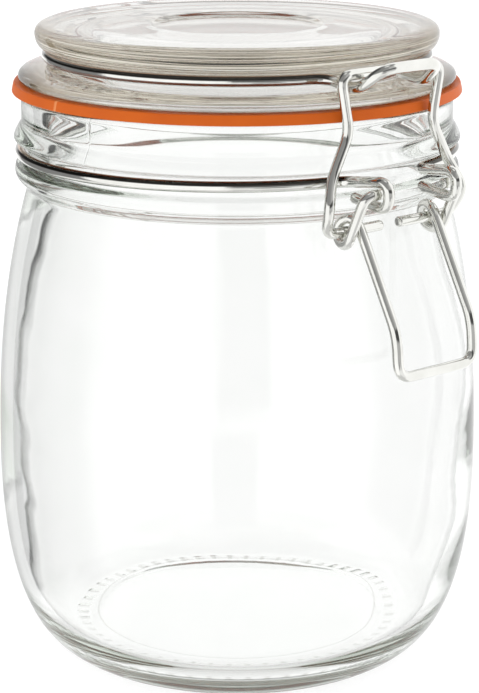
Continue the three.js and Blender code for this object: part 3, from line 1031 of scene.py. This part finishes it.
def add_reach(tree, place):
    """Distance of a place from the jar's axis."""
    flat = tree.nodes.new("ShaderNodeVectorMath")
    flat.operation = "MULTIPLY"
    flat.inputs[1].default_value = (1, 1, 0)
    tree.links.new(place, flat.inputs[0])
    reach = tree.nodes.new("ShaderNodeVectorMath")
    reach.operation = "LENGTH"
    tree.links.new(flat.outputs["Vector"], reach.inputs[0])
    return reach.outputs["Value"]


def jar_glass(name):
    """The jar's glass, with painted shade along the floor's ring and in the ticks round the underside."""
    material = glass(name, JAR_TINT, JAR_STAIN, JAR_STAIN_DENSITY, JAR_PAINTED_EDGE_SHADE)
    tree = material.node_tree
    shader = tree.nodes["Principled BSDF"]
    place = tree.nodes.new("ShaderNodeTexCoord").outputs["Object"]
    split = tree.nodes.new("ShaderNodeSeparateXYZ")
    tree.links.new(place, split.inputs["Vector"])
    height = split.outputs["Z"]
    reach = add_reach(tree, place)
    # Painted shade along the floor's ring and in the ticks round the underside
    half_line = FLOOR_LINE_WIDTH / 2
    inner, outer = ((FLOOR_RING_RADIUS + offset) * MM for offset in (-half_line, half_line))
    line = add_band(tree, reach, inner, outer, half_line * MM)
    low = add_band(tree, height, TICK_TOP * MM, FLOOR_RING_BELOW * MM, TICK_TOP / 2 * MM)
    add_over(tree, shader, add_math(tree, "MULTIPLY", line, low), FLOOR_LINE_PAINTED_SHADE)
    around = add_math(tree, "ARCTAN2", split.outputs["Y"], split.outputs["X"])
    wave = add_math(tree, "COSINE", add_math(tree, "MULTIPLY", around, float(STIPPLE_COUNT)), 0.0)
    ticks = add_step(tree, add_math(tree, "MULTIPLY", wave, -1.0), *TICK_SHARE)
    first, last = (edge * MM for edge in STIPPLE_RING)
    ticks = add_math(tree, "MULTIPLY", ticks, add_band(tree, reach, first, last, FLOOR_LINE_WIDTH * MM))
    under = add_step(tree, height, TICK_TOP * MM, TICK_TOP / 2 * MM)
    add_over(tree, shader, add_math(tree, "MULTIPLY", ticks, under), TICK_PAINTED_SHADE)
    return material


def rubber(name):
    """Orange rubber with a fine grain and a pale mark across the ring."""
    material, tree, shader = new_material(name)
    grain = add_noise(tree, *RUBBER_GRAIN)
    patches = add_noise(tree, *RUBBER_NOISE)
    add_tint(tree, shader, patches.outputs["Fac"], *RUBBER_COLOURS)
    tree.links.new(add_range(tree, patches.outputs["Fac"], *RUBBER_ROUGHNESS), shader.inputs["Roughness"])
    add_bump(tree, shader, grain.outputs["Fac"], RUBBER_GRAIN_STRENGTH)
    shader.inputs["Specular IOR Level"].default_value = RUBBER_SHINE
    place = tree.nodes.new("ShaderNodeTexCoord").outputs["Object"]
    angle = math.radians(GASKET_MARK_ANGLE)
    across = add_dot(tree, place, (math.cos(angle), math.sin(angle), 0))
    outwards = add_dot(tree, place, (math.sin(angle), -math.cos(angle), 0))
    width = GASKET_MARK_WIDTH * MM
    line = add_band(tree, across, -width, width, width)
    line = add_math(tree, "MULTIPLY", line, add_step(tree, outwards, 0, GASKET_INNER_RADIUS * MM))
    add_over(tree, shader, line, GASKET_MARK_COLOUR)
    return material


def steel(name, ring_radius):
    """Bright drawn wire. Wire that lies in a groove of the glass gets painted shade where it faces the
    overhang and a painted warm reflection along its top.
    """
    material, tree, shader = new_material(name)
    shader.inputs["Metallic"].default_value = 1
    patches = add_noise(tree, *STEEL_NOISE)
    drawn = add_noise(tree, *STEEL_GRAIN)
    add_tint(tree, shader, patches.outputs["Fac"], *STEEL_COLOURS)
    tree.links.new(add_range(tree, patches.outputs["Fac"], *STEEL_ROUGHNESS), shader.inputs["Roughness"])
    add_bump(tree, shader, drawn.outputs["Fac"], STEEL_GRAIN_STRENGTH)
    if ring_radius:
        place = tree.nodes.new("ShaderNodeTexCoord")
        split = tree.nodes.new("ShaderNodeSeparateXYZ")
        tree.links.new(place.outputs["Normal"], split.inputs["Vector"])
        reach = add_reach(tree, place.outputs["Object"])
        leaves, left = ((ring_radius + gap) * MM for gap in GROOVE_LEAVING)
        inside = add_step(tree, reach, left, leaves)
        # Painted shade on the wire's upper side in the groove, and a painted warm reflection along its top
        for rise, colour in ((GROOVE_PAINTED_SHADE_RISE, GROOVE_PAINTED_SHADE), (GROOVE_REFLECTION_RISE, GROOVE_PAINTED_REFLECTION)):
            share = add_math(tree, "MULTIPLY", add_step(tree, split.outputs["Z"], *rise), inside)
            add_over(tree, shader, share, colour)
    return material


def make_floor():
    """A round pale floor, a little below the jar's foot, which lights itself to white and isn't mirrored."""
    turns = [2 * math.pi * step / FLOOR_SIDES for step in range(FLOOR_SIDES)]
    rim = [(FLOOR_REACH * math.cos(turn), FLOOR_REACH * math.sin(turn), -FLOOR_GAP) for turn in turns]
    mesh = bpy.data.meshes.new("floor")
    mesh.from_pydata(rim, [], [tuple(range(FLOOR_SIDES))])
    floor = bpy.data.objects.new("floor", mesh)
    bpy.context.scene.collection.objects.link(floor)
    material, tree, shader = new_material("pale_floor")
    shader.inputs["Base Color"].default_value = FLOOR_COLOUR
    shader.inputs["Roughness"].default_value = FLOOR_ROUGHNESS
    shader.inputs["Specular IOR Level"].default_value = 0
    shader.inputs["Emission Color"].default_value = (1, 1, 1, 1)
    shader.inputs["Emission Strength"].default_value = FLOOR_GLOW
    camera = tree.nodes.new("ShaderNodeLightPath").outputs["Is Camera Ray"]
    clear = tree.nodes.new("ShaderNodeBsdfTransparent")
    mixed = tree.nodes.new("ShaderNodeMixShader")
    tree.links.new(camera, mixed.inputs["Fac"])
    tree.links.new(clear.outputs["BSDF"], mixed.inputs[1])
    tree.links.new(shader.outputs["BSDF"], mixed.inputs[2])
    tree.links.new(mixed.outputs["Shader"], tree.nodes["Material Output"].inputs["Surface"])
    mesh.materials.append(material)


def add_panel(tree, turn, rise, level, panel):
    """The light level with one panel laid over it."""
    centre, half, low, high, edge, panel_level = panel
    offset = tree.nodes.new("ShaderNodeMath")
    offset.operation = "WRAP"
    offset.inputs[1].default_value = math.pi
    offset.inputs[2].default_value = -math.pi
    tree.links.new(add_math(tree, "SUBTRACT", turn, math.radians(centre)), offset.inputs[0])
    half = math.radians(half)
    edge = math.radians(edge)
    wide = add_band(tree, offset.outputs["Value"], -half, half, edge)
    tall = add_band(tree, rise, math.radians(low), math.radians(high), edge)
    return add_blend(tree, add_math(tree, "MULTIPLY", wide, tall), level, panel_level)


def make_light():
    """Soft white light from all round, with panels that show in the wire and at the edges of the glass."""
    world = bpy.data.worlds.new("studio")
    bpy.context.scene.world = world
    world.use_nodes = True
    tree = world.node_tree
    background = tree.nodes["Background"]
    place = tree.nodes.new("ShaderNodeTexCoord")
    split = tree.nodes.new("ShaderNodeSeparateXYZ")
    tree.links.new(place.outputs["Generated"], split.inputs["Vector"])
    rise = add_math(tree, "ARCSINE", split.outputs["Z"], 0.0)
    towards = add_dot(tree, place.outputs["Generated"], (-math.sin(CAMERA_TURN), -math.cos(CAMERA_TURN), 0))
    right = add_dot(tree, place.outputs["Generated"], (math.cos(CAMERA_TURN), -math.sin(CAMERA_TURN), 0))
    turn = add_math(tree, "ARCTAN2", right, towards)
    in_wire = WIRE_LEVEL
    for panel in WIRE_PANELS:
        in_wire = add_panel(tree, turn, rise, in_wire, panel)
    in_glass = GLASS_LEVEL
    for panel in GLASS_PANELS:
        in_glass = add_panel(tree, turn, rise, in_glass, panel)
    light_path = tree.nodes.new("ShaderNodeLightPath")
    camera = light_path.outputs["Is Camera Ray"]
    sharp = light_path.outputs["Is Singular Ray"]
    mirrored = add_math(tree, "MINIMUM", light_path.outputs["Glossy Depth"], 1.0)
    straight = add_blend(tree, STRAIGHT_CONTRAST, STRAIGHT_LEVEL, in_glass)
    for panel in EDGE_PANELS:
        in_glass = add_panel(tree, turn, rise, in_glass, panel)
    level = add_blend(tree, mirrored, straight, add_blend(tree, sharp, in_wire, in_glass))
    level = add_blend(tree, camera, level, 1.0)
    tree.links.new(level, background.inputs["Color"])
    background.inputs["Strength"].default_value = LIGHT_STRENGTH


def make_lamp(name, turn, rise, distance, size, power):
    """A soft square lamp that shines on the jar but isn't seen in glass or wire."""
    turn = math.radians(turn) - CAMERA_TURN
    rise = math.radians(rise)
    direction = Vector((math.sin(turn) * math.cos(rise), -math.cos(turn) * math.cos(rise), math.sin(rise)))
    data = bpy.data.lights.new(name, "AREA")
    data.size = size
    data.energy = power
    lamp = bpy.data.objects.new(name, data)
    bpy.context.scene.collection.objects.link(lamp)
    lamp.location = Vector(LAMP_TARGET) + distance * direction
    lamp.rotation_euler = direction.to_track_quat("Z", "Y").to_euler()
    lamp.visible_camera = False
    lamp.visible_glossy = False
    lamp.visible_transmission = False


def make_camera():
    data = bpy.data.cameras.new("photo_camera")
    camera = bpy.data.objects.new("photo_camera", data)
    bpy.context.scene.collection.objects.link(camera)
    heading = Vector((math.sin(CAMERA_TURN), math.cos(CAMERA_TURN), 0))
    camera.location = (-CAMERA_DISTANCE * heading + Vector((0, 0, CAMERA_HEIGHT))) * MM
    camera.rotation_euler = (math.pi / 2 - CAMERA_PITCH, 0, -CAMERA_TURN)
    data.sensor_fit = "VERTICAL"
    data.sensor_height = SENSOR
    data.lens = FOCAL_PIXELS * SENSOR / PHOTO_HEIGHT
    data.shift_x = AXIS_OFFSET_PIXELS / PHOTO_HEIGHT
    data.clip_start = NEAREST_SEEN
    bpy.context.scene.camera = camera


def dress(piece, body, node, material):
    """Puts a piece in the place of its CAD node, with its material, on the body that carries it."""
    piece.data.materials.append(material)
    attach(piece, body)
    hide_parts(node)


clip_wire = steel("clip_wire", None)
dress(make_jar(), "jar", "jar", jar_glass("jar_glass"))
dress(make_lid(), "lid", "lid", glass("lid_glass", LID_TINT, LID_STAIN, LID_STAIN_DENSITY, LID_PAINTED_EDGE_SHADE))
dress(make_gasket(), "lid", "gasket", rubber("orange_rubber"))
dress(make_lid_wire(), "lid", "lid_wire", steel("lid_band_wire", LID_RING_RADIUS))
dress(make_neck_wire(), "jar", "neck_wire", steel("neck_band_wire", NECK_RING_RADIUS))
dress(make_bail(), "bail", "bail", clip_wire)
dress(make_lever(), "lever", "lever", clip_wire)

make_floor()
make_light()
for lamp_values in LAMPS:
    make_lamp(*lamp_values)
make_camera()

scene = bpy.context.scene
scene.view_settings.view_transform = "Standard"
scene.cycles.max_bounces = LIGHT_BOUNCES
scene.cycles.transmission_bounces = LIGHT_BOUNCES
scene.cycles.glossy_bounces = LIGHT_BOUNCES
